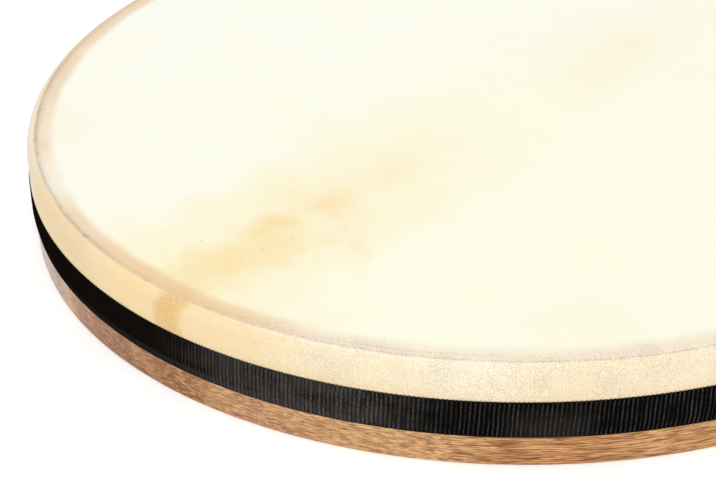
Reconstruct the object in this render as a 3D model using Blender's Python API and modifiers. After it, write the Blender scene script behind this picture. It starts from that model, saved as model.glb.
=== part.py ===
"""A tar: a shallow, single-headed frame drum.

The hoop is glued up from thin bent plies, each closed by its own scarf joint.
A goatskin is stretched wet over the bearing edge, glued down the outside of the
hoop and trimmed, and a woven ribbon is glued over the trimmed edge of the skin.

Metres, +Z up. The origin is the centre of the open edge that the drum rests on,
so the head faces up.
"""

import math

import bmesh
import bpy

# Wooden hoop
FRAME_DIAMETER = 0.508  # outside of the bare wood
FRAME_DEPTH = 0.0508  # open edge to the crest of the bearing edge
PLY_COUNT = 6
PLY_THICKNESS = 0.0014
SCARF_RATIO = 10.0  # length of a ply's scarf joint for each unit of its thickness
FIRST_SCARF_ANGLE = math.radians(34)
BEARING_ROUND = 0.004  # radius that carries the skin over the outside of the rim
BEARING_FALL = 0.0006  # how far the rim drops from its crest to the inside
INNER_ROUND = 0.0012  # radius on the inside corner of the bearing edge
FOOT_ROUND = 0.001  # radius on both corners of the open edge

# Goatskin head
SKIN_THICKNESS = 0.0009
SKIN_SHOWN = 0.0171  # height of bare skin between the top of the head and the ribbon

# Ribbon over the trimmed edge of the skin
RIBBON_WIDTH = 0.01905
RIBBON_THICKNESS = 0.0006
RIBBON_ON_WOOD = 0.0058  # width of the ribbon that lies below the skin's edge
RIBBON_STEP = 0.0025  # height over which the ribbon steps down from skin to wood
RIBBON_LAP = 0.028  # length of the ribbon's end that lies over its start
RIBBON_RISE = 0.012  # length over which that end climbs before it meets the start
RIBBON_RUN_IN = 0.006  # length between the end of the climb and the start of the ribbon
RIBBON_START_ANGLE = math.radians(62)

# Fits and fineness
GLUE_LINE = 0.0003  # gap between two faces that are glued together
FACET_SAG = 0.0001  # most that a flat facet may stray from the round
ROUND_STEPS = 4  # facets across each rounded corner

frame_radius = FRAME_DIAMETER / 2
wall = PLY_COUNT * PLY_THICKNESS + (PLY_COUNT - 1) * GLUE_LINE
inner_radius = frame_radius - wall
inner_round = min(INNER_ROUND, wall / 3)
foot_round = min(FOOT_ROUND, wall / 3)
bearing_round = min(BEARING_ROUND, wall - inner_round)
head_top = FRAME_DEPTH + GLUE_LINE + SKIN_THICKNESS
ribbon_bottom = head_top - SKIN_SHOWN - RIBBON_WIDTH
skin_edge = ribbon_bottom + RIBBON_ON_WOOD
segments = 4 * math.ceil(math.pi / math.acos(1 - FACET_SAG / frame_radius) / 4)


def clear_scene():
    for obj in list(bpy.data.objects):
        bpy.data.objects.remove(obj, do_unlink=True)


def new_collection(name):
    collection = bpy.data.collections.new(name)
    bpy.context.scene.collection.children.link(collection)
    return collection


def finish(name, colour, roughness):
    material = bpy.data.materials.new(name)
    material.use_nodes = True
    shader = material.node_tree.nodes["Principled BSDF"]
    shader.inputs["Base Color"].default_value = (*colour, 1.0)
    shader.inputs["Roughness"].default_value = roughness
    shader.inputs["Metallic"].default_value = 0.0
    return material


def add_piece(name, data, material, collection):
    piece = bpy.data.objects.new(name, data)
    data.materials.append(material)
    collection.objects.link(piece)
    return piece


def arc(centre, radius, first_angle, last_angle):
    """Points (distance from the drum's axis, height) along a rounded corner."""
    points = []
    for step in range(ROUND_STEPS + 1):
        angle = first_angle + (last_angle - first_angle) * step / ROUND_STEPS
        points.append((centre[0] + radius * math.cos(angle), centre[1] + radius * math.sin(angle)))
    return points


def bearing_edge():
    """The hoop's upper edge, from the outside in: a round, a slight fall, a small round."""
    outer = (frame_radius - bearing_round, FRAME_DEPTH - bearing_round)
    inner = (inner_radius + inner_round, FRAME_DEPTH - BEARING_FALL - inner_round)
    quarter = math.pi / 2
    return arc(outer, bearing_round, 0, quarter) + arc(inner, inner_round, quarter, math.pi)


def open_edge():
    """The hoop's lower edge, from the outside in, rounded at both corners."""
    outer = (frame_radius - foot_round, foot_round)
    inner = (inner_radius + foot_round, foot_round)
    quarter = math.pi / 2
    return arc(outer, foot_round, 0, -quarter) + arc(inner, foot_round, -quarter, -math.pi)


def height_on(edge, radius):
    """Height of an edge of the hoop at a distance from the drum's axis."""
    for (outer, outer_height), (inner, inner_height) in zip(edge, edge[1:]):
        if inner <= radius <= outer and inner < outer:
            share = (outer - radius) / (outer - inner)
            return outer_height + (inner_height - outer_height) * share
    return edge[0][1] if radius > edge[0][0] else edge[-1][1]


def stretch_of(edge, inside, outside):
    """The part of an edge of the hoop that falls to one ply, from the outside in."""
    shortest = PLY_THICKNESS / 50
    between = [(r, z) for r, z in edge if inside + shortest < r < outside - shortest]
    return [(outside, height_on(edge, outside)), *between, (inside, height_on(edge, inside))]


def build_ply(index, material, collection):
    """One bent strip of the hoop, counted from the outside, whose scarfed ends meet."""
    outside = frame_radius - index * (PLY_THICKNESS + GLUE_LINE)
    inside = outside - PLY_THICKNESS
    section = stretch_of(bearing_edge(), inside, outside)
    section += reversed(stretch_of(open_edge(), inside, outside))

    middle = (inside + outside) / 2
    joint_gap = GLUE_LINE * math.hypot(1, SCARF_RATIO)
    strip = bmesh.new()
    corners = []
    for radius, height in section:
        slant = (radius - middle) * SCARF_RATIO / middle
        corners.append(strip.verts.new((radius * math.cos(slant), radius * math.sin(slant), height)))
    end = strip.faces.new(corners)
    bmesh.ops.spin(
        strip,
        geom=[end, *end.edges, *end.verts],
        cent=(0, 0, 0),
        axis=(0, 0, 1),
        angle=2 * math.pi - joint_gap / middle,
        steps=segments,
    )
    open_end = [edge for edge in strip.edges if edge.is_boundary]
    bmesh.ops.holes_fill(strip, edges=open_end, sides=0)
    bmesh.ops.recalc_face_normals(strip, faces=strip.faces)

    place = "outer" if index == 0 else "inner" if index == PLY_COUNT - 1 else "core"
    mesh = bpy.data.meshes.new(f"shell_ply_{index + 1}_{place}")
    strip.to_mesh(mesh)
    strip.free()
    mesh.shade_smooth()
    mesh.set_sharp_from_angle(angle=math.radians(30))

    ply = add_piece(mesh.name, mesh, material, collection)
    ply.rotation_euler.z = FIRST_SCARF_ANGLE + index * 2 * math.pi / PLY_COUNT
    return ply


def build_head(material, collection):
    """The skin: a flat membrane turned down over the bearing edge to its trimmed edge."""
    corner = (frame_radius - bearing_round, FRAME_DEPTH - bearing_round)
    under = bearing_round + GLUE_LINE
    over = under + SKIN_THICKNESS
    profile = [(0.0, head_top)]
    profile += arc(corner, over, math.pi / 2, 0)
    profile += [(corner[0] + over, skin_edge), (corner[0] + under, skin_edge)]
    profile += arc(corner, under, 0, math.pi / 2)
    profile += [(0.0, head_top - SKIN_THICKNESS)]

    outline = bmesh.new()
    points = [outline.verts.new((radius, 0, height)) for radius, height in profile]
    for first, second in zip(points, points[1:]):
        outline.edges.new((first, second))
    mesh = bpy.data.meshes.new("goatskin_head")
    outline.to_mesh(mesh)
    outline.free()

    head = add_piece(mesh.name, mesh, material, collection)
    turn = head.modifiers.new("Turn", "SCREW")
    turn.axis = "Z"
    turn.angle = 2 * math.pi
    turn.steps = segments
    turn.render_steps = segments
    turn.use_merge_vertices = True
    turn.merge_threshold = 0.00001
    turn.use_smooth_shade = True
    return head


def build_ribbon_section(collection):
    """Outline across the ribbon, measured out from the wood and up from its lower edge."""
    on_wood = GLUE_LINE
    on_skin = GLUE_LINE + SKIN_THICKNESS + GLUE_LINE
    step_top = RIBBON_ON_WOOD - GLUE_LINE
    step_foot = step_top - RIBBON_STEP
    back = [(on_wood, 0.0), (on_wood, step_foot), (on_skin, step_top), (on_skin, RIBBON_WIDTH)]
    front = [(out + RIBBON_THICKNESS, height) for out, height in reversed(back)]

    outline = bpy.data.curves.new("ribbon_section", "CURVE")
    outline.dimensions = "2D"
    outline.fill_mode = "NONE"
    spline = outline.splines.new("POLY")
    spline.points.add(len(back) + len(front) - 1)
    for point, (out, height) in zip(spline.points, back + front):
        point.co = (out, height, 0, 1)
    spline.use_cyclic_u = True

    section = bpy.data.objects.new(outline.name, outline)
    section.hide_render = True
    section.display_type = "WIRE"
    collection.objects.link(section)
    return section


def build_ribbon(material, collection, guides):
    """The ribbon: once round the hoop, with its end lapped over its start."""
    lap_lift = RIBBON_THICKNESS + GLUE_LINE
    climb_end = 2 * math.pi - RIBBON_RUN_IN / frame_radius
    climb_start = climb_end - RIBBON_RISE / frame_radius
    lap_turn = (RIBBON_RUN_IN + RIBBON_LAP) / frame_radius
    lap_steps = math.ceil(segments * lap_turn / (2 * math.pi))
    route = [(climb_start * step / segments, 0.0) for step in range(segments + 1)]
    route += [(climb_end + lap_turn * step / lap_steps, lap_lift) for step in range(lap_steps + 1)]

    path = bpy.data.curves.new("ribbon_trim", "CURVE")
    path.dimensions = "3D"
    path.twist_mode = "Z_UP"
    spline = path.splines.new("POLY")
    spline.points.add(len(route) - 1)
    for point, (angle, lift) in zip(spline.points, route):
        radius = frame_radius + lift
        point.co = (radius * math.cos(angle), radius * math.sin(angle), 0, 1)
    path.bevel_mode = "OBJECT"
    path.bevel_object = build_ribbon_section(guides)
    path.use_fill_caps = True

    ribbon = add_piece(path.name, path, material, collection)
    ribbon.location.z = ribbon_bottom
    ribbon.rotation_euler.z = RIBBON_START_ANGLE
    return ribbon


def main():
    clear_scene()
    drum = new_collection("Tar drum")
    guides = new_collection("Guides")
    face_wood = finish("Walnut face ply", (0.36, 0.19, 0.10), 0.5)
    core_wood = finish("Core ply", (0.45, 0.29, 0.17), 0.6)
    skin = finish("Goatskin", (0.86, 0.73, 0.52), 0.55)
    weave = finish("Black ribbon", (0.012, 0.012, 0.013), 0.6)
    for index in range(PLY_COUNT):
        is_face = index in (0, PLY_COUNT - 1)
        build_ply(index, face_wood if is_face else core_wood, drum)
    build_head(skin, drum)
    build_ribbon(weave, drum, guides)


main()
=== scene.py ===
import math

import bmesh
import bpy
from mathutils import Matrix, Vector, noise


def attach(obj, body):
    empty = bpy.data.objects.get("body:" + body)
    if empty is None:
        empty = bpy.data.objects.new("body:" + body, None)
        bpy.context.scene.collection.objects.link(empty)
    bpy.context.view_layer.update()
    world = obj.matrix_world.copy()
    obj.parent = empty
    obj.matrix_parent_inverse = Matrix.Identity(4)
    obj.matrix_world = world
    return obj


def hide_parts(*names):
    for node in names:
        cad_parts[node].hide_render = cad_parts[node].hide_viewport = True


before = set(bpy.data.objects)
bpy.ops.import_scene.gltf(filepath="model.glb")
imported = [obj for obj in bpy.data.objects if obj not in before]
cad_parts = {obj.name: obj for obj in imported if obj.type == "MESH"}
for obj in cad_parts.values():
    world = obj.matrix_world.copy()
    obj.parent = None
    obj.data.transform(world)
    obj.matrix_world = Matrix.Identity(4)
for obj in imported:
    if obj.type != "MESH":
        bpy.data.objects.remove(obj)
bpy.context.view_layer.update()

# Hoop plies: thin strips of walnut, with plainer strips between the two faces, bent round a
# form and glued one inside the other. A long scarf closes each strip, and the glued stack is
# then shaped to one bearing edge, rounded outside and falling inwards, and an eased foot.
HOOP_RADIUS = 0.254
HOOP_DEPTH = 0.0508
HOOP_STEPS = 360
PLIES = (
    "shell_ply_1_outer",
    "shell_ply_2_core",
    "shell_ply_3_core",
    "shell_ply_4_core",
    "shell_ply_5_core",
    "shell_ply_6_inner",
)
PLY_PITCH = 0.0017
PLY_THICKNESS = 0.0014
WALL = PLY_PITCH * (len(PLIES) - 1) + PLY_THICKNESS
GLUE_SEEN = 0.0001
SCARF_RATIO = 10.0
SCARF_SLACK = 0.001
FIRST_SCARF = math.radians(34)
BEARING_ROUND = 0.004
BEARING_FALL = 0.0006
BEARING_FLAT = 0.0002
INNER_ROUND = 0.0012
FOOT_ROUND = 0.001
GRAIN_APART = 3.7


class Tone:
    """A socket of a material: a sum written with it becomes Math nodes of that material."""

    def __init__(self, socket):
        self.socket = socket

    def __getitem__(self, output):
        return Tone(self.socket.node.outputs[output])

    def node(self, kind, settings, inputs, output=0):
        """Add any other node: its settings first, then the values or links of its sockets."""
        tree = self.socket.id_data
        node = tree.nodes.new(kind)
        for name, value in settings.items():
            setattr(node, name, value)
        for name, value in inputs.items():
            if isinstance(value, Tone):
                tree.links.new(value.socket, node.inputs[name])
            else:
                node.inputs[name].default_value = value
        return Tone(node.outputs[output])

    def math(self, operation, first, second=0.0):
        return self.node("ShaderNodeMath", {"operation": operation}, {0: first, 1: second})

    def __add__(self, other):
        return self.math("ADD", self, other)

    def __sub__(self, other):
        return self.math("SUBTRACT", self, other)

    def __rsub__(self, other):
        return self.math("SUBTRACT", other, self)

    def __mul__(self, other):
        return self.math("MULTIPLY", self, other)

    def __truediv__(self, other):
        return self.math("DIVIDE", self, other)

    __radd__ = __add__
    __rmul__ = __mul__

    def ease(self, low, high):
        """0 below low, 1 above high and a smooth rise between; low may be the larger one."""
        settings = {"interpolation_type": "SMOOTHSTEP"}
        sockets = {"Value": self, "From Min": low, "From Max": high}
        return self.node("ShaderNodeMapRange", settings, sockets)

    def spell(self, start, full, fading, end):
        """0 before the start and after the end, 1 from full to fading, and smooth between."""
        return self.ease(start, full) * self.ease(end, fading)

    def attribute(self, name):
        """A value that the mesh carries at each of its points."""
        return self.node("ShaderNodeAttribute", {"attribute_name": name}, {}, "Fac")

    def joined(self, **axes):
        return self.node("ShaderNodeCombineXYZ", {}, axes)

    def stretched(self, factors):
        return self.node("ShaderNodeVectorMath", {"operation": "MULTIPLY"}, {0: self, 1: factors})

    def mottle(self, waves, detail=2.0, roughness=0.5):
        """Soft random noise from 0 to 1, at so many waves a metre along each axis."""
        sockets = {
            "Vector": self.stretched(waves),
            "Scale": 1.0,
            "Detail": detail,
            "Roughness": roughness,
        }
        return self.node("ShaderNodeTexNoise", {}, sockets)

    def tint(self, ground, colour):
        """The ground colour where this is 0, the other colour where it is 1."""
        settings = {"data_type": "RGBA", "clamp_factor": True}
        return self.node("ShaderNodeMix", settings, {0: self, 6: ground, 7: colour}, 2)

    def off(self, point):
        """Distance of this place from a point."""
        return self.node("ShaderNodeVectorMath", {"operation": "DISTANCE"}, {0: self, 1: point}, 1)

    def astray(self, waves, reach):
        """This place moved about at random by up to half the reach, so that edges fray."""
        sockets = {"Vector": self, "Scale": waves, "Detail": 4.0}
        shift = self.node("ShaderNodeTexNoise", {}, sockets, "Color")
        settings = {"operation": "MULTIPLY_ADD"}
        moved = self.node("ShaderNodeVectorMath", settings, {0: shift, 1: (reach,) * 3, 2: self})
        settings = {"operation": "SUBTRACT"}
        return self.node("ShaderNodeVectorMath", settings, {0: moved, 1: (reach / 2,) * 3})


def start_finish(name, constants):
    """A material with its shader's constants set, and the place on the object that it reads."""
    material = bpy.data.materials.new(name)
    material.use_nodes = True
    shader = material.node_tree.nodes["Principled BSDF"]
    for socket, value in constants.items():
        shader.inputs[socket].default_value = value
    place = Tone(material.node_tree.nodes.new("ShaderNodeTexCoord").outputs["Object"])
    return material, shader, place


def feed(shader, socket, tone):
    shader.id_data.links.new(tone.socket, shader.inputs[socket])


def relief(shader, height, depth):
    """Raise the surface by so much where the height is 1."""
    sockets = {"Height": height, "Distance": depth, "Strength": 1.0}
    feed(shader, "Normal", height.node("ShaderNodeBump", {}, sockets))


def rgb(red, green, blue):
    return (red, green, blue, 1.0)


OIL = {
    "IOR": 1.5,
    "Specular IOR Level": 0.35,
    "Coat Weight": 0.8,
    "Coat Roughness": 0.12,
    "Coat IOR": 1.1,
}
# Waves a metre of each marking: along the strip, up it and out from the drum's axis.
SWAY_WAVES = (9, 25, 25)
BOARD_WAVES = (11, 40, 40)
FIGURE_WAVES = (75, 60, 60)
GROWTH_WAVES = (26, 2100, 2100)
FIBRE_WAVES = (290, 1900, 1900)
PORE_WAVES = (170, 1800, 1800)
GRAIN_SWAY = 0.0016
PORE_DEPTH = 0.00006
# Where the grain changes along the outer ply, in metres from its scarf.
CALM_GRAIN = (0.60, 0.70, 0.78, 0.86)
FIGURED_GRAIN = (0.82, 0.88, 0.99, 1.03)
BOLD_GRAIN = (0.95, 1.03)
FAINT_GRAIN = (1.06, 1.10)
LINED_GRAIN = (1.0, 1.02, 1.055, 1.08)
LINED_BEFORE = (0.60, 0.48)
LINED_AFTER = (1.14, 1.25)
DRAWN_FROM = 0.99
DRAWN_SHARE = 0.45
STRETCH_FADE = 0.03


def wood_finish(name, pale, middle, dark, pore, stretches):
    """Oiled wood whose grain follows the strip, with stretches of it toned apart."""
    material, shader, place = start_finish(name, OIL)
    along = place.attribute("along")
    height = place.node("ShaderNodeSeparateXYZ", {}, {"Vector": place})["Z"]
    out = place.stretched((1, 1, 0)).off((0, 0, 0))
    straight_strip = place.joined(X=along, Y=height, Z=out)
    height = height + straight_strip.mottle(SWAY_WAVES) * GRAIN_SWAY
    strip = place.joined(X=along, Y=height, Z=out)
    drawn_along = along - DRAWN_SHARE * along.math("MAXIMUM", along - DRAWN_FROM, 0.0)
    drawn_strip = place.joined(X=drawn_along, Y=height, Z=out)
    board = strip.mottle(BOARD_WAVES, 3.0)
    figure = strip.mottle(FIGURE_WAVES, 3.0, 0.6)
    growth = strip.mottle(GROWTH_WAVES, 1.0, 0.6)
    fibre = drawn_strip.mottle(FIBRE_WAVES, 2.0, 0.6)
    pores = drawn_strip.mottle(PORE_WAVES, 1.0).ease(0.54, 0.62)
    bold = 0.72 + 0.28 * along.ease(*BOLD_GRAIN)
    bold = bold - 0.35 * along.spell(*CALM_GRAIN) - 0.2 * along.ease(*FAINT_GRAIN)
    lined = 0.7 * (along.ease(*LINED_BEFORE) + along.ease(*LINED_AFTER))
    lined = along.spell(*LINED_GRAIN) + lined
    colour = board.ease(0.35, 0.65).tint(middle, pale)
    for start, end, tone in stretches:
        stretch = along.spell(start, start + STRETCH_FADE, end - STRETCH_FADE, end)
        colour = stretch.tint(colour, tone)
    figured = 0.3 + 0.12 * along.spell(*FIGURED_GRAIN)
    colour = (figure.ease(0.48, 0.68) * figured).tint(colour, dark)
    colour = (figure.ease(0.48, 0.32) * figured).tint(colour, pale)
    colour = (fibre.ease(0.49, 0.42) * bold * (0.8 - 0.35 * lined)).tint(colour, pale)
    colour = (fibre.ease(0.51, 0.58) * bold * (0.7 - 0.35 * lined)).tint(colour, dark)
    colour = (growth.ease(0.50, 0.56) * (0.3 * bold + 0.4 * lined)).tint(colour, dark)
    colour = (pores * bold * 0.75).tint(colour, pore)
    feed(shader, "Base Color", colour)
    feed(shader, "Roughness", 0.36 + 0.12 * growth + 0.2 * pores)
    relief(shader, 0.5 * fibre - pores, PORE_DEPTH)
    return material


walnut = wood_finish(
    "Oiled walnut",
    rgb(0.83, 0.505, 0.24),
    rgb(0.54, 0.26, 0.09),
    rgb(0.285, 0.09, 0.02),
    rgb(0.13, 0.035, 0.008),
    (
        (0.60, 0.768, rgb(0.32, 0.21, 0.13)),
        (0.745, 0.885, rgb(0.31, 0.11, 0.018)),
        (0.87, 0.95, rgb(0.66, 0.37, 0.18)),
        (0.92, 1.01, rgb(0.76, 0.445, 0.20)),
        (0.99, 1.07, rgb(0.64, 0.30, 0.10)),
        (1.05, 1.16, rgb(0.72, 0.38, 0.14)),
    ),
)
core_wood = wood_finish(
    "Oiled core ply",
    rgb(0.70, 0.50, 0.30),
    rgb(0.57, 0.37, 0.20),
    rgb(0.40, 0.23, 0.11),
    rgb(0.28, 0.15, 0.07),
    (),
)


def add_piece(name, shape, finish, sharp):
    mesh = bpy.data.meshes.new(name)
    shape.to_mesh(mesh)
    shape.free()
    mesh.materials.append(finish)
    mesh.shade_smooth()
    mesh.set_sharp_from_angle(angle=math.radians(sharp))
    piece = bpy.data.objects.new(name, mesh)
    bpy.context.scene.collection.objects.link(piece)
    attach(piece, "root")
    return piece


def round_corner(shape, corner, radius, segments):
    bmesh.ops.bevel(
        shape,
        geom=[corner],
        offset=radius,
        offset_type="OFFSET",
        affect="VERTICES",
        segments=segments,
        profile=0.5,
        material=-1,
    )


def everything(shape):
    return [*shape.verts, *shape.edges, *shape.faces]


def hoop_section():
    """Outline across the whole glued hoop, before it is parted into plies."""
    section = bmesh.new()
    inside = HOOP_RADIUS - WALL
    crest = HOOP_RADIUS - BEARING_ROUND - BEARING_FLAT
    outline = (
        (inside, 0),
        (HOOP_RADIUS, 0),
        (HOOP_RADIUS, HOOP_DEPTH),
        (crest, HOOP_DEPTH),
        (inside, HOOP_DEPTH - BEARING_FALL),
    )
    corners = [section.verts.new((radius, 0, height)) for radius, height in outline]
    section.faces.new(corners)
    round_corner(section, corners[0], FOOT_ROUND, segments=4)
    round_corner(section, corners[1], FOOT_ROUND, segments=4)
    round_corner(section, corners[2], BEARING_ROUND, segments=8)
    round_corner(section, corners[4], INNER_ROUND, segments=4)
    return section


def cut_ring(shape, radius, **clear):
    """Cut a section on the line at this distance from the drum's axis."""
    bmesh.ops.bisect_plane(
        shape,
        geom=everything(shape),
        dist=1e-7,
        plane_co=(radius, 0, 0),
        plane_no=(1, 0, 0),
        **clear,
    )


def close_ends(shape):
    """Cap the open ends of a strip and turn its faces outward."""
    open_edges = [edge for edge in shape.edges if edge.is_boundary]
    bmesh.ops.holes_fill(shape, edges=open_edges, sides=0)
    bmesh.ops.recalc_face_normals(shape, faces=shape.faces)


for index, node in enumerate(PLIES):
    outside = HOOP_RADIUS - index * PLY_PITCH
    inside = max(outside - PLY_PITCH + GLUE_SEEN, HOOP_RADIUS - WALL)
    strip = hoop_section()
    if index > 0:
        cut_ring(strip, outside, clear_outer=True)
    if index < len(PLIES) - 1:
        cut_ring(strip, inside, clear_inner=True)
    middle = (inside + outside) / 2
    joint = FIRST_SCARF + index * 2 * math.pi / len(PLIES)
    for corner in strip.verts:
        lean = (corner.co.x - middle) * SCARF_RATIO / middle
        turn = Matrix.Rotation(joint + lean, 3, "Z")
        bmesh.ops.rotate(strip, verts=[corner], cent=(0, 0, 0), matrix=turn)
    joint_gap = GLUE_SEEN * math.hypot(1, SCARF_RATIO) / middle
    bmesh.ops.spin(
        strip,
        geom=everything(strip),
        cent=(0, 0, 0),
        axis=(0, 0, 1),
        angle=2 * math.pi - joint_gap,
        steps=HOOP_STEPS,
    )
    close_ends(strip)
    along = strip.verts.layers.float.new("along")
    for corner in strip.verts:
        radius = corner.co.xy.length
        lean = (radius - middle) * SCARF_RATIO / middle
        turned = math.atan2(corner.co.y, corner.co.x) - joint - lean
        turned = (turned + SCARF_SLACK) % (2 * math.pi)
        corner[along] = HOOP_RADIUS * turned + GRAIN_APART * index
    is_face = node.endswith(("outer", "inner"))
    ply = add_piece(
        node.replace("shell_", "hoop_"),
        strip,
        walnut if is_face else core_wood,
        sharp=30,
    )
    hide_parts(node)

# Goatskin head: one scraped rawhide, soaked, stretched over the bearing edge, glued down the
# outside of the hoop and trimmed once dry. Where no wood backs it, it lets light through, and
# that light is painted into its colour as nearly white; over the rim it shows the wood, and a
# crease runs round on the crest.
SKIN_THICKNESS = 0.0009
SKIN_GAP = 0.0003
SKIN_TOP = HOOP_DEPTH + SKIN_GAP + SKIN_THICKNESS
SKIN_EDGE = 0.02165
SKIN_STEPS = 720
HEAD_RINGS = (0.05, 0.1, 0.15, 0.2, 0.23, 0.24, 0.2435)
FLAT_RADIUS = 0.2
CREASE_RADIUS = HOOP_RADIUS - BEARING_ROUND
CREASE_RINGS = (-0.0042, -0.003, -0.002, -0.0014, -0.0009, -0.00045, 0.0)
CREASE_WANDER = ((0.0005, 4, 1.3), (0.0004, 18, 4.1))
CREASE_REACH = 0.005
CREASE_LAYER = 0.0003
CREASE_DEPTH = 0.00016
CREASE_WIDTH = 0.0007
CREASE_DEEPEST = math.radians(-60)


def round_wander(angle, waves, seed):
    """A value from -1 to 1 that wanders round the drum and meets itself."""
    return noise.noise(Vector((waves * math.cos(angle), waves * math.sin(angle), seed)))


skin = bmesh.new()
skin_out = HOOP_RADIUS + SKIN_GAP + SKIN_THICKNESS
skin_in = HOOP_RADIUS + SKIN_GAP
skin_outline = (
    (0, SKIN_TOP),
    (skin_out, SKIN_TOP),
    (skin_out, SKIN_EDGE),
    (skin_in, SKIN_EDGE),
    (skin_in, SKIN_TOP - SKIN_THICKNESS),
    (0, SKIN_TOP - SKIN_THICKNESS),
)
skin_corners = [skin.verts.new((radius, 0, height)) for radius, height in skin_outline]
for first, second in zip(skin_corners, skin_corners[1:]):
    skin.edges.new((first, second))
round_corner(skin, skin_corners[1], BEARING_ROUND + SKIN_GAP + SKIN_THICKNESS, segments=10)
round_corner(skin, skin_corners[4], BEARING_ROUND + SKIN_GAP, segments=6)
for radius in HEAD_RINGS:
    cut_ring(skin, radius)
for offset in CREASE_RINGS:
    cut_ring(skin, CREASE_RADIUS + offset)
bmesh.ops.spin(
    skin,
    geom=everything(skin),
    cent=(0, 0, 0),
    axis=(0, 0, 1),
    angle=2 * math.pi,
    steps=SKIN_STEPS,
    use_merge=True,
)
bmesh.ops.remove_doubles(skin, verts=skin.verts, dist=1e-6)
bmesh.ops.recalc_face_normals(skin, faces=skin.faces)
for point in skin.verts:
    radius = point.co.xy.length
    if radius < FLAT_RADIUS or point.co.z < SKIN_TOP - CREASE_LAYER:
        continue
    angle = math.atan2(point.co.y, point.co.x)
    wander = sum(size * round_wander(angle, waves, seed) for size, waves, seed in CREASE_WANDER)
    hold = max(0.0, 1 - abs(radius - CREASE_RADIUS) / CREASE_REACH)
    point.co.xy *= (radius + wander * hold) / radius
    depth = CREASE_DEPTH * (0.75 + 0.6 * round_wander(angle, 26, 7.7))
    depth *= 0.6 + 0.4 * math.cos(angle - CREASE_DEEPEST)
    across = (radius - CREASE_RADIUS) / CREASE_WIDTH
    point.co.z -= depth * math.exp(-across * across)

# The hide's own marks: its spine, knots and marks as (x, y, radius, strength), and rings
# measured from the drum's axis.
SPINE = math.radians(227.2)
DOWN_SPINE = (math.cos(SPINE), math.sin(SPINE), 0)
ACROSS_SPINE = (math.sin(SPINE), -math.cos(SPINE), 0)
SPINE_ASIDE = 0.001
CLEFT_DOWN = 0.163
KNOTS = ((-0.104, -0.109, 0.018, 0.8), (-0.125, -0.129, 0.021, 1.0), (-0.152, -0.162, 0.024, 0.4))
STREAK_MARKS = (
    (0.066, 0.060, 0.034, 0.95),
    (0.053, 0.042, 0.034, 0.9),
    (0.043, 0.022, 0.032, 0.65),
    (0.037, 0.004, 0.028, 0.35),
    (-0.044, -0.046, 0.022, 0.6),
    (-0.080, -0.088, 0.022, 0.7),
)
WARM_MARKS = ((-0.231, -0.014, 0.035, 0.8), (-0.214, -0.070, 0.05, 0.4), (0.010, -0.230, 0.07, 1.0))
CURL_CENTRE = (-0.181, -0.179, 0)
CURL_RADIUS = 0.1
CURL_MIDDLE = (-0.087, -0.146, 0)
PALE_PLACE = (-0.238, -0.070, 0)
TANNED_PLACE = (0.022, -0.2505, 0)
SCRAPED_PLACE = (-0.040, -0.2508, 0)
WASH_RING = (0.208, 0.236)
STAIN_RING = (0.226, 0.246)
BACKED_FROM = 0.2370
BACKED_TO = 0.2478
# Painted shade toward the crest lies on this ring.
CREST_RING = (0.2462, 0.2502)
TURN_RING = (0.2506, 0.2520)
LIP_HIGHLIGHT_RADIUS = 0.2521
LOW_SIDE = (0.042, 0.034)
FLESH_HEIGHT = (0.0516, 0.0513)
FLESH_RING = (0.2508, 0.2502)
PEBBLE_WAVES = 850.0
GRAIN_DEPTH = 0.00022
AXIS_GUARD = 0.001


def marks(ground, places):
    """Soft round marks on the flat of the skin, each at (x, y) with its radius and strength."""
    first, *others = [
        ground.off((x, y, 0)).ease(radius, 0.0) * strength for x, y, radius, strength in places
    ]
    for other in others:
        first = first.math("MAXIMUM", first, other)
    return first


def reach(ground, direction):
    """How far this place lies from the drum's axis in one direction."""
    settings = {"operation": "DOT_PRODUCT"}
    return ground.node("ShaderNodeVectorMath", settings, {0: ground, 1: direction}, 1)


def within(gap, width):
    """1 on a line, fading to 0 at this distance on both sides of it."""
    share = gap / width
    return (share * share).ease(1.0, 0.0)


hide, hide_shader, place = start_finish("Goatskin", {"IOR": 1.45})
spot = place.node("ShaderNodeSeparateXYZ", {}, {"Vector": place})
flat = place.stretched((1, 1, 0))
out = flat.off((0, 0, 0))
facing = spot["X"] / (out + AXIS_GUARD)
leftward = facing.ease(-0.25, -0.8)
cloud = place.mottle((22, 22, 22), 3.0)
patches = place.mottle((75, 75, 75), 4.0, 0.6)
grain = place.mottle((1650, 1650, 1650), 1.0)
pebbles = place.node(
    "ShaderNodeTexVoronoi",
    {"feature": "DISTANCE_TO_EDGE"},
    {"Vector": place.astray(500.0, 0.0015), "Scale": PEBBLE_WAVES},
)
wrinkle = pebbles.ease(0.14, 0.0) * patches.ease(0.35, 0.65)

# The head, where no wood backs the skin, with the warm streak along the spine.
frayed = flat.astray(26.0, 0.022).astray(110.0, 0.006)
torn = flat.astray(32.0, 0.05).astray(120.0, 0.012)
beside = reach(torn, ACROSS_SPINE) - SPINE_ASIDE
down = reach(torn, DOWN_SPINE)
blotch = flat.mottle((42, 42, 1), 2.0).ease(0.33, 0.62)
head = beside.ease(-0.03, 0.11).tint(rgb(0.972, 0.965, 0.785), rgb(0.972, 0.968, 0.85))
head = (cloud.ease(0.45, 0.65) * 0.5).tint(head, rgb(0.97, 0.958, 0.745))
head = (within(beside, 0.055) * 0.6).tint(head, rgb(0.97, 0.955, 0.735))
head = (spot["Y"].ease(0.0, 0.08) * 0.4).tint(head, rgb(0.972, 0.968, 0.87))
head = (marks(frayed, WARM_MARKS) * 0.4).tint(head, rgb(0.965, 0.89, 0.70))
head = (marks(frayed, STREAK_MARKS) * 0.5).tint(head, rgb(0.96, 0.84, 0.58))
wash = within(beside, 0.11) * out.ease(*WASH_RING) * spot["Y"].ease(-0.02, -0.12)
head = (wash * 0.45).tint(head, rgb(0.968, 0.865, 0.58))
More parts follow.
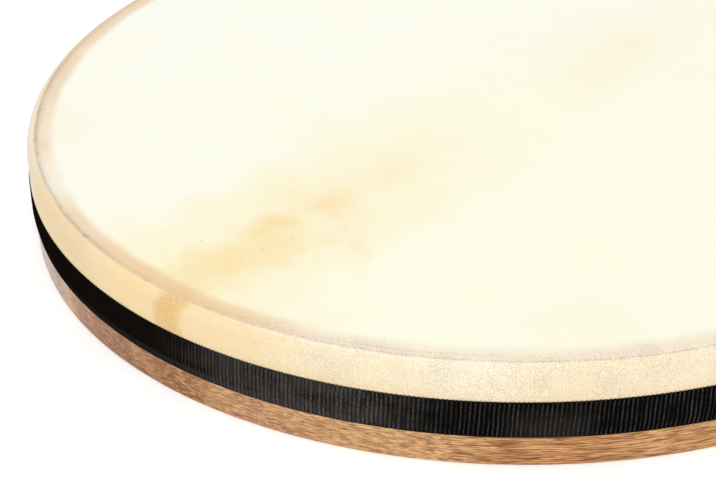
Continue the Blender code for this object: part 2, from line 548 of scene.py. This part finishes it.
halo = within(beside, 0.068) * down.ease(0.0, 0.17)
head = (halo * (0.75 + 0.35 * blotch)).tint(head, rgb(0.967, 0.895, 0.63))
core = within(beside, 0.018 + 0.009 * down.ease(0.08, 0.18)) * down.ease(0.05, 0.2)
head = (core * (0.42 + 0.45 * blotch)).tint(head, rgb(0.958, 0.785, 0.43))
head = (marks(frayed, KNOTS) * (0.35 + 0.5 * blotch)).tint(head, rgb(0.94, 0.69, 0.32))
cleft = within(down - CLEFT_DOWN, 0.009) * within(beside, 0.045)
head = (cleft * 0.25).tint(head, rgb(0.97, 0.93, 0.72))
curl = within(frayed.off(CURL_CENTRE) - CURL_RADIUS, 0.004)
curl = curl * flat.off(CURL_MIDDLE).ease(0.028, 0.012)
head = (curl * 0.3).tint(head, rgb(0.95, 0.78, 0.47))
speck = flat.mottle((310, 310, 1), 1.0).ease(0.755, 0.80) * (halo + 0.1)
head = (speck * 0.45).tint(head, rgb(0.62, 0.42, 0.22))

# The band over the rim, where the wood shows through, and painted shade toward its crest.
pale_place = flat.off(PALE_PLACE).ease(0.045, 0.008)
tanned_place = flat.off(TANNED_PLACE).ease(0.04, 0.01)
far_left = facing.ease(-0.76, -0.87)
warm_place = within(reach(place, ACROSS_SPINE), 0.075) * spot["Y"].ease(-0.05, -0.12)
band = leftward.tint(rgb(0.95, 0.825, 0.63), rgb(0.86, 0.675, 0.465))
band = (cloud.ease(0.5, 0.68) * 0.45).tint(band, rgb(0.955, 0.875, 0.715))
band = (patches.ease(0.48, 0.7) * 0.25).tint(band, rgb(0.93, 0.71, 0.54))
band = warm_place.tint(band, rgb(0.87, 0.62, 0.335))
band = (pale_place * 0.85).tint(band, rgb(0.95, 0.885, 0.75))
band = (tanned_place * 0.15).tint(band, rgb(0.88, 0.70, 0.46))
strayed = out + (flat.mottle((30, 30, 1), 3.0) - 0.5) * 0.005
backed = strayed.ease(BACKED_FROM + 0.0022 * leftward, BACKED_TO - 0.0024 * leftward)
top = backed.tint(head, band)
# Painted shade toward the crest of the rim, stronger on the left, where less light falls.
crest = strayed.ease(*CREST_RING) * (0.1 + 0.2 * leftward + 0.35 * far_left)
crest = crest * (1 - 0.5 * pale_place)
top = crest.tint(top, rgb(0.66, 0.49, 0.32))

# The part that is turned down the side of the hoop.
side = leftward.tint(rgb(0.955, 0.81, 0.55), rgb(0.935, 0.715, 0.405))
side = far_left.tint(side, rgb(0.865, 0.65, 0.37))
side = (cloud.ease(0.45, 0.7) * 0.5).tint(side, rgb(0.96, 0.86, 0.66))
side = (warm_place * 0.8).tint(side, rgb(0.945, 0.70, 0.37))
side = (spot["Z"].ease(*LOW_SIDE) * 0.9).tint(side, rgb(0.89, 0.69, 0.385))
# Painted sheen: paler grey on the side at its far left edge, where it is seen edge-on.
side = (facing.ease(-0.93, -0.99) * 0.55).tint(side, rgb(0.87, 0.83, 0.74))
scraped_place = flat.off(SCRAPED_PLACE).ease(0.024, 0.004)
side = (scraped_place * 0.4).tint(side, rgb(0.97, 0.885, 0.70))
side = (tanned_place * 0.35).tint(side, rgb(0.89, 0.70, 0.43))
# Painted highlight along the rounded lip of the rim, strongest on the front.
lip_highlight_shown = 0.1 + 0.55 * facing.ease(-0.62, -0.42) * facing.ease(0.08, -0.08)
lip_highlight = within(out - LIP_HIGHLIGHT_RADIUS, 0.0011) * lip_highlight_shown
side = lip_highlight.tint(side, rgb(0.985, 0.935, 0.775))
turned = out.ease(*TURN_RING)
colour = turned.tint(top, side)

# The crease marks, dirt with painted shade, the soil and grain of the backed skin, the stain, and
# the flesh side within.
wander = (flat.mottle((70, 70, 1), 3.0) - 0.5) * 0.0018
dots = 0.3 + 0.7 * grain.ease(0.42, 0.6)
# Two dark crease lines, partly dirt in the crease and partly painted shade; the inner one is a soft
# band of painted shade, strongest on the left.
inner_crease = CREASE_RADIUS + 0.0003 - 0.0045 * facing.math("MAXIMUM", facing + 0.97, 0.0)
inner_dirt_and_shade = 0.3 * far_left * patches.ease(0.3, 0.55)
inner_dirt_and_shade = inner_dirt_and_shade + (0.22 - 0.08 * leftward) * dots * facing.ease(-0.05, -0.25)
inner_crease_dirt_and_shade = within(out - inner_crease + wander, 0.0013 - 0.0003 * leftward)
inner_crease_dirt_and_shade = inner_crease_dirt_and_shade * inner_dirt_and_shade * spot["Y"].ease(0.10, 0.04)
outer_crease = CREASE_RADIUS + 0.0004 + 0.0007 * facing.ease(-0.1, 0.18)
outer_dirt_and_shade = dots * (0.55 - 0.5 * leftward) * patches.ease(0.25, 0.5)
outer_crease_dirt_and_shade = within(out - outer_crease + 0.4 * wander, 0.0008) * outer_dirt_and_shade
colour = (inner_crease_dirt_and_shade + outer_crease_dirt_and_shade).tint(colour, rgb(0.43, 0.295, 0.185))
# Dark specks of soil laid over the painted crest shade and weighted like it, so partly dirt and
# partly painted shade.
soil_and_shade = flat.mottle((230, 230, 1), 1.0).ease(0.63, 0.72) * crest * (1 - turned)
colour = (soil_and_shade * 0.8).tint(colour, rgb(0.30, 0.22, 0.15))
backing = 1 - (1 - turned) * (1 - backed)
grainy = flat.mottle((32, 32, 1)).ease(0.38, 0.6)
rough = backing * (1 - 0.8 * facing.ease(-0.3, -0.68)) * (0.68 + 0.35 * grainy)
colour = (grain.ease(0.52, 0.60) * rough * 0.55).tint(colour, rgb(0.66, 0.53, 0.35))
colour = (grain.ease(0.48, 0.40) * rough * 0.6).tint(colour, rgb(0.985, 0.94, 0.80))
colour = (wrinkle * rough * 0.12).tint(colour, rgb(0.64, 0.51, 0.34))
stain = within(reach(place.astray(60.0, 0.018), ACROSS_SPINE), 0.0125)
stain = stain * out.ease(*STAIN_RING) * spot["Y"].ease(-0.10, -0.15) * (0.25 + 0.6 * turned)
colour = (stain * (0.4 + 0.6 * grain.ease(0.40, 0.56))).tint(colour, rgb(0.74, 0.44, 0.125))
flesh = spot["Z"].ease(*FLESH_HEIGHT) * out.ease(*FLESH_RING)
flesh_tone = (patches * 0.6 + cloud * 0.4).ease(0.3, 0.7)
flesh_tone = flesh_tone.tint(rgb(0.86, 0.70, 0.44), rgb(0.92, 0.81, 0.58))
colour = flesh.tint(colour, flesh_tone)
feed(hide_shader, "Base Color", colour)
feed(hide_shader, "Roughness", 0.48 + 0.2 * cloud)
relief(hide_shader, (grain - wrinkle * 0.4) * (0.08 + 0.92 * rough), GRAIN_DEPTH)

head_piece = add_piece("goatskin", skin, hide, sharp=40)
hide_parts("goatskin_head")

# Ribbon: black grosgrain, woven with heavy cross ribs that leave its edges scalloped. It is
# glued once round over the trimmed edge of the skin, steps down below it onto the wood, and
# its cut end is lapped over its start.
RIBBON_WIDTH = 0.01905
RIBBON_BOTTOM = 0.01517
RIBBON_THICKNESS = 0.0005
RIBBON_START = math.radians(62)
RIBBON_LAP = 0.028
RIBBON_RISE = 0.012
RIBBON_RUN_IN = 0.006
RIBBON_ON_WOOD = 0.0003
RIBBON_ON_SKIN = 0.00125
RIBBON_LIFT = RIBBON_THICKNESS + RIBBON_ON_WOOD
RIBBON_STEP = (0.0, 0.006)
RIBBON_FRONT = (0.0, 0.0006, 0.0022, 0.0042, 0.0062, 0.0085, 0.0115, 0.015, 0.0184, 0.01905)
RIBBON_BACK = (0.0187, 0.0085, 0.0062, 0.0034, 0.0004)
SELVEDGE_SHARE = 0.45
RIB_PITCH = 0.00204
RIB_COLUMNS = 4
RIB_DEPTH = 0.00036
RIB_FULLNESS = 0.7
RIB_SCALLOP = 0.0003
RIB_LEAN = 0.08
RIB_WANDER = 0.0003
RIB_UNEVEN = 0.00006

ribbon_length = 2 * math.pi * HOOP_RADIUS + RIBBON_LAP
climb_end = 2 * math.pi * HOOP_RADIUS - RIBBON_RUN_IN
rib_count = round(ribbon_length / RIB_PITCH)
columns = rib_count * RIB_COLUMNS
loop = [*RIBBON_FRONT, *RIBBON_BACK, RIBBON_FRONT[0]]
ribbon = bmesh.new()
bmesh.ops.create_grid(ribbon, x_segments=columns, y_segments=len(loop) - 1, size=0.5)
ribbon_along = ribbon.verts.layers.float.new("along")
ribbon_across = ribbon.verts.layers.float.new("across")


def smooth(low, high, value):
    share = min(1.0, max(0.0, (value - low) / (high - low)))
    return share * share * (3 - 2 * share)


for point in ribbon.verts:
    column = round((point.co.x + 0.5) * columns)
    row = round((point.co.y + 0.5) * (len(loop) - 1))
    height = loop[row]
    along = ribbon_length * column / columns
    point[ribbon_along] = along
    point[ribbon_across] = height
    rise = abs(math.sin(math.pi * column / RIB_COLUMNS)) ** RIB_FULLNESS
    uneven = noise.noise(Vector((along * 260, height * 120, 2.5)))
    shift = RIB_WANDER * noise.noise(Vector((along * 110, height * 170, 8.5)))
    shift += RIB_LEAN * (height - RIBBON_WIDTH / 2)
    lift = RIBBON_LIFT * smooth(climb_end - RIBBON_RISE, climb_end, along)
    seat = RIBBON_ON_WOOD + (RIBBON_ON_SKIN - RIBBON_ON_WOOD) * smooth(*RIBBON_STEP, height)
    if height in (RIBBON_FRONT[0], RIBBON_FRONT[-1]):
        proud = SELVEDGE_SHARE * RIBBON_THICKNESS
        height += RIB_SCALLOP * (0.5 - rise) * (0.5 if height < RIBBON_WIDTH / 2 else -1)
    elif row < len(RIBBON_FRONT):
        proud = RIBBON_THICKNESS - RIB_DEPTH * (1 - rise) + RIB_UNEVEN * uneven
    else:
        proud = 0.0
    radius = HOOP_RADIUS + lift + seat + proud
    angle = RIBBON_START + (along + shift) / HOOP_RADIUS
    point.co = (radius * math.cos(angle), radius * math.sin(angle), RIBBON_BOTTOM + height)
bmesh.ops.remove_doubles(ribbon, verts=ribbon.verts, dist=1e-7)
close_ends(ribbon)

WARP_PITCH = 0.00034
WARP_DEPTH = 0.00003
# Where the ribs are painted lighter, in metres from the ribbon's start, and across it from its
# lower edge.
SHEEN_AND_WEAR_STRETCH = (0.715, 0.78, 0.825, 0.88)
STEP_HIGHLIGHT_STRETCH = (0.58, 0.74, 0.82, 0.87)
STEP_HIGHLIGHT_STRIP = (0.0003, 0.0016, 0.0034, 0.0050)
PALE_SPOT_AT = 0.915
BRIGHTER_RIBS_FROM = (0.955, 0.975)
FAINT_RIBS_BEFORE = (0.50, 0.35)
FAINT_RIBS_AFTER = (0.82, 0.90)
weave, weave_shader, place = start_finish(
    "Black grosgrain", {"IOR": 1.45, "Specular IOR Level": 0.0}
)
across = place.attribute("across")
along = place.attribute("along")
ribbon_space = place.joined(X=along, Y=across)
sheen_patches = ribbon_space.mottle((40, 120, 1), 3.0)
uneven_ribs = ribbon_space.mottle((490, 60, 1), 2.0)
fuzz = ribbon_space.mottle((900, 900, 1), 2.0)
warp_threads = place.math("SINE", across * (2 * math.pi / WARP_PITCH)) * 0.5 + 0.5
rib_turn = place.math("SINE", along * (math.pi * rib_count / ribbon_length))
# Painted highlight and sheen: these masks set how much lighter the rib crests and valleys are
# painted, with wear in the worn stretch; the step gets a painted highlight.
sheen_and_wear = along.spell(*SHEEN_AND_WEAR_STRETCH)
pale_spot = within(along - PALE_SPOT_AT, 0.024) * across.ease(0.019, 0.006)
faint_ribs = (along.ease(*FAINT_RIBS_BEFORE) + along.ease(*FAINT_RIBS_AFTER)) * sheen_patches.ease(0.2, 0.6)
step_highlight = across.spell(*STEP_HIGHLIGHT_STRIP) * along.spell(*STEP_HIGHLIGHT_STRETCH)
brighter_ribs = along.ease(*BRIGHTER_RIBS_FROM)
rib_highlight_and_wear = 0.55 * sheen_and_wear + 0.4 * faint_ribs + 0.05 * pale_spot + 0.1 * step_highlight + 0.12 * brighter_ribs
# The rib crests are painted lighter than the valleys, as the highlight that a rib's top catches.
rib_crest = (rib_turn * rib_turn).ease(0.55 - 0.53 * sheen_and_wear, 0.98 - 0.4 * sheen_and_wear)
crest = rib_highlight_and_wear.tint(rgb(0.0085, 0.0066, 0.0052), rgb(0.135, 0.127, 0.12))
rib_highlight_mask = rib_crest * uneven_ribs.ease(0.2, 0.65) * fuzz.ease(0.15, 0.7)
# The valleys, painted paler as sheen and wear in the worn stretch, at the pale spot and along the
# step.
ground = along.ease(0.80, 0.87).tint(rgb(0.0055, 0.0042, 0.0032), rgb(0.0036, 0.0031, 0.0026))
ground = (sheen_and_wear * sheen_patches.ease(0.3, 0.6) + 0.55 * pale_spot).tint(ground, rgb(0.026, 0.023, 0.021))
ground = (step_highlight * 0.5).tint(ground, rgb(0.032, 0.029, 0.027))
black = rib_highlight_mask.tint(ground, crest)
feed(weave_shader, "Base Color", black)
feed(weave_shader, "Roughness", 0.7 - 0.1 * fuzz)
relief(weave_shader, warp_threads * 0.6 + fuzz * 0.4, WARP_DEPTH)

ribbon_piece = add_piece("ribbon", ribbon, weave, sharp=60)
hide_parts("ribbon_trim")

# Studio: a wide white floor, lit up a little for the camera so that it meets the even white
# surround, with one large soft lamp in front and a weaker one overhead. The floor keeps the
# faint shadow at the drum's foot.
FLOOR_SIZE = 12.0
FLOOR_DROP = 0.0001
FLOOR_GLOW = 0.36
SURROUND_LIGHT = 0.775
floor_shape = bmesh.new()
bmesh.ops.create_grid(floor_shape, x_segments=1, y_segments=1, size=FLOOR_SIZE / 2)
bmesh.ops.translate(floor_shape, verts=floor_shape.verts, vec=(0, 0, -FLOOR_DROP))
floor_mesh = bpy.data.meshes.new("floor")
floor_shape.to_mesh(floor_mesh)
floor_shape.free()
floor_finish, floor_shader, place = start_finish(
    "White floor",
    {"Base Color": rgb(0.94, 0.94, 0.94), "Roughness": 0.9, "Emission Strength": 1.0},
)


def seen_rays(path):
    """1 for a ray from the camera, or one that a gloss or glass sends on, otherwise 0."""
    gloss = path.math("MAXIMUM", path["Is Glossy Ray"], path["Is Transmission Ray"])
    return path.math("MAXIMUM", path["Is Camera Ray"], gloss)


floor_rays = seen_rays(place.node("ShaderNodeLightPath", {}, {}))
feed(floor_shader, "Emission Color", floor_rays * FLOOR_GLOW)
floor_mesh.materials.append(floor_finish)
floor = bpy.data.objects.new("floor", floor_mesh)
bpy.context.scene.collection.objects.link(floor)

world = bpy.data.worlds.new("white surround")
bpy.context.scene.world = world
world.use_nodes = True
surround = world.node_tree.nodes["Background"]
surround.inputs["Color"].default_value = rgb(1.0, 1.0, 1.0)
sky_rays = seen_rays(Tone(world.node_tree.nodes.new("ShaderNodeLightPath").outputs[0]))
feed(surround, "Strength", SURROUND_LIGHT + (1 - SURROUND_LIGHT) * sky_rays)


def add_lamp(name, place, size, power):
    """A soft round lamp that points at the middle of the drum's foot."""
    lamp = bpy.data.lights.new(name, "AREA")
    lamp.shape = "DISK"
    lamp.size = size
    lamp.energy = power
    stand = bpy.data.objects.new(name, lamp)
    stand.location = place
    stand.rotation_euler = (-Vector(place)).to_track_quat("-Z", "Y").to_euler()
    bpy.context.scene.collection.objects.link(stand)


add_lamp("key lamp", place=(-0.2, -2.3, 1.2), size=1.8, power=15)
add_lamp("top lamp", place=(-0.1, 0.3, 2.2), size=2.0, power=7.8)

# Camera: a long lens in front of the drum and above it, looking down over the near left side.
# Its place, tilt and slight roll come from a fit to the drum's circles.
CAMERA_LENS = 113.829
CAMERA_SENSOR = 36.0
CAMERA_PLACE = (-0.08692, -1.05229, 0.58335)
CAMERA_DOWN = 0.53311
CAMERA_ROLL = -0.03918
lens = bpy.data.cameras.new("camera")
lens.sensor_fit = "HORIZONTAL"
lens.sensor_width = CAMERA_SENSOR
lens.lens = CAMERA_LENS
camera = bpy.data.objects.new("camera", lens)
aim = Matrix.Rotation(math.pi / 2 - CAMERA_DOWN, 4, "X") @ Matrix.Rotation(CAMERA_ROLL, 4, "Z")
camera.matrix_world = Matrix.Translation(CAMERA_PLACE) @ aim
bpy.context.scene.collection.objects.link(camera)
bpy.context.scene.camera = camera
bpy.context.scene.view_settings.view_transform = "Standard"
